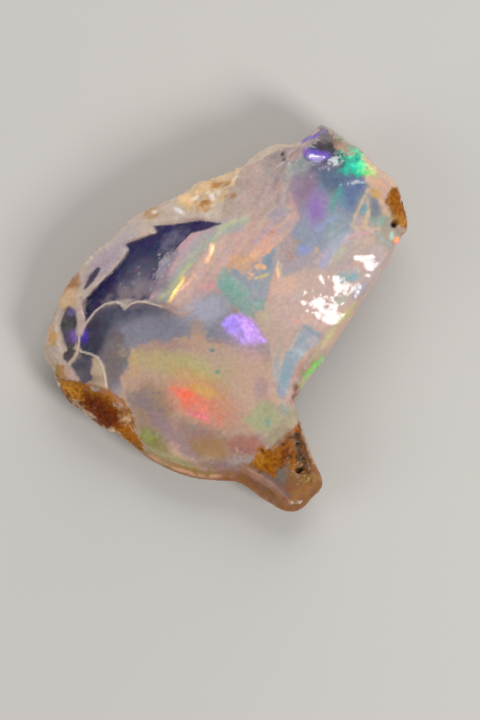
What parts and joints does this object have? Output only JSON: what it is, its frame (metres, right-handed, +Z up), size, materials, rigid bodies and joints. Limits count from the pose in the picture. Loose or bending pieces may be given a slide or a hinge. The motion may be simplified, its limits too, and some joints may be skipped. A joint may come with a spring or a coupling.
{
  "type": "rough ethiopian opal",
  "caption": "Piece of rough precious opal: thick rounded rim of rough skin, shell-shaped glassy breaks over the face, a narrow tail and a worn flat underside that it rests on",
  "frame": {"origin": "under the middle of the stone's bounding box, on the surface that it rests on", "axes": "+Z up from the resting face to the broken face, +Y along the face from the tail to the tip, +X across the face to the right corner"},
  "size_m": [0.03, 0.0322, 0.009],
  "materials": {
    "opal": "gloss"
  },
  "bodies": {
    "root": {"opal": "opal"}
  },
  "joints": []
}
